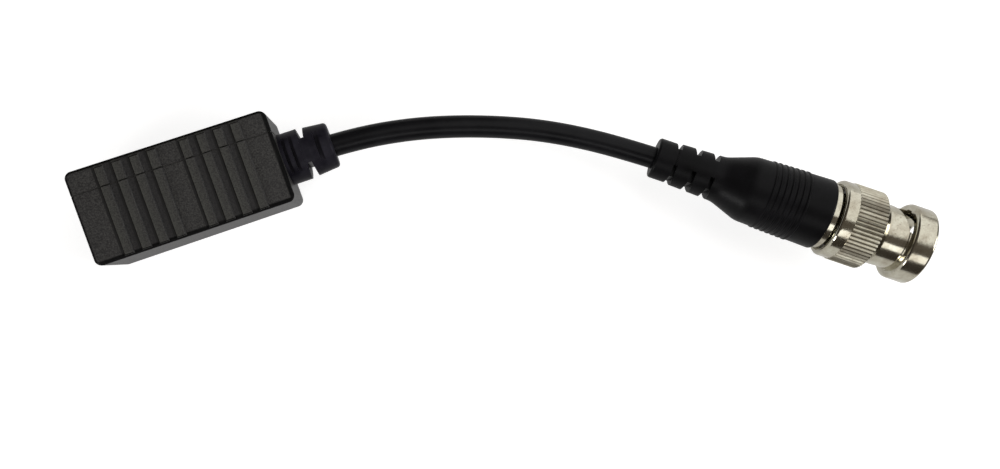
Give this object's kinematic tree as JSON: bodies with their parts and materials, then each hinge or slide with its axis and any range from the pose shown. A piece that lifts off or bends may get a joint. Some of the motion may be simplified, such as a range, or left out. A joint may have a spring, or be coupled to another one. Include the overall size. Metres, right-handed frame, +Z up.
{
  "type": "cctv video balun",
  "caption": "Ribbed clamshell video balun with a screw terminal block and a short coaxial pigtail that ends in a bayonet plug.",
  "frame": {"origin": "centre of the housing's flat resting face", "axes": "+X along the housing toward the pigtail, +Y across it toward the cover with the screw holes, +Z up out of the ribbed face"},
  "size_m": [0.141, 0.0667, 0.0215],
  "materials": {
    "black_plastic": "moulded matte",
    "board": "solder resist",
    "tinned": "tinned",
    "plated_steel": "zinc plated",
    "ferrite": "sintered",
    "copper_red": "enamelled wire",
    "copper_green": "enamelled wire",
    "component": "lacquered",
    "component_dark": "moulded",
    "component_blue": "lacquered",
    "cable_black": "soft vinyl",
    "braid_metal": "woven",
    "white_plastic": "natural",
    "copper": "drawn",
    "nickel": "nickel plated",
    "gold_brass": "gold flashed",
    "silicone": "moulded",
    "spring_steel": "spring temper"
  },
  "bodies": {
    "balun": {"housing_base": "black_plastic", "housing_cover": "black_plastic", "circuit_board": "board", "terminal_block": "black_plastic", "contact_bar_1": "tinned", "contact_bar_2": "tinned", "balun_core": "ferrite", "signal_winding": "copper_red", "return_winding": "copper_green", "matching_resistor": "component", "surge_suppressor": "component_dark", "filter_capacitor": "component_blue", "cable_jacket": "cable_black", "cable_braid": "braid_metal", "cable_dielectric": "white_plastic", "centre_conductor": "copper", "cable_solder": "tinned", "cable_gland": "cable_black", "plug_boot": "cable_black", "crimp_ferrule": "plated_steel", "plug_body": "nickel", "plug_insulator": "white_plastic", "centre_pin": "gold_brass", "face_gasket": "silicone", "wave_washer": "spring_steel"},
    "screw_1": {"terminal_screw_1": "plated_steel"},
    "screw_2": {"terminal_screw_2": "plated_steel"},
    "clamp_1": {"wire_clamp_1": "plated_steel"},
    "clamp_2": {"wire_clamp_2": "plated_steel"},
    "ring": {"retaining_ring": "spring_steel"},
    "nut": {"coupling_nut": "nickel"}
  },
  "joints": [
    {"name": "screw_turn_1", "type": "hinge", "parent": "balun", "child": "screw_1", "pos_m": [-0.01185, 0.003, 0.00422], "axis": [0, -1, 0], "range_deg": [0, 1080]},
    {"name": "clamp_lift_1", "type": "slide", "parent": "balun", "child": "clamp_1", "axis": [0, 1, 0], "range_m": [0, 0.00135]},
    {"name": "screw_turn_2", "type": "hinge", "parent": "balun", "child": "screw_2", "pos_m": [-0.01185, 0.003, 0.00928], "axis": [0, -1, 0], "range_deg": [0, 1080]},
    {"name": "clamp_lift_2", "type": "slide", "parent": "balun", "child": "clamp_2", "axis": [0, 1, 0], "range_m": [0, 0.00135]},
    {"name": "nut_draw", "type": "slide", "parent": "balun", "child": "ring", "axis": [0.7696, -0.6232, 0.1392], "range_m": [0, 0.0006], "stiffness_N_per_m": 12000, "deforming": ["wave_washer"]},
    {"name": "nut_turn", "type": "hinge", "parent": "ring", "child": "nut", "pos_m": [0.11268, -0.04754, 0.0132], "axis": [0.7696, -0.6232, 0.1392], "continuous": true}
  ],
  "couplings": [
    {"joint": "screw_turn_1", "follows": "clamp_lift_1", "rad_per_m": 13963},
    {"joint": "screw_turn_2", "follows": "clamp_lift_2", "rad_per_m": 13963}
  ]
}
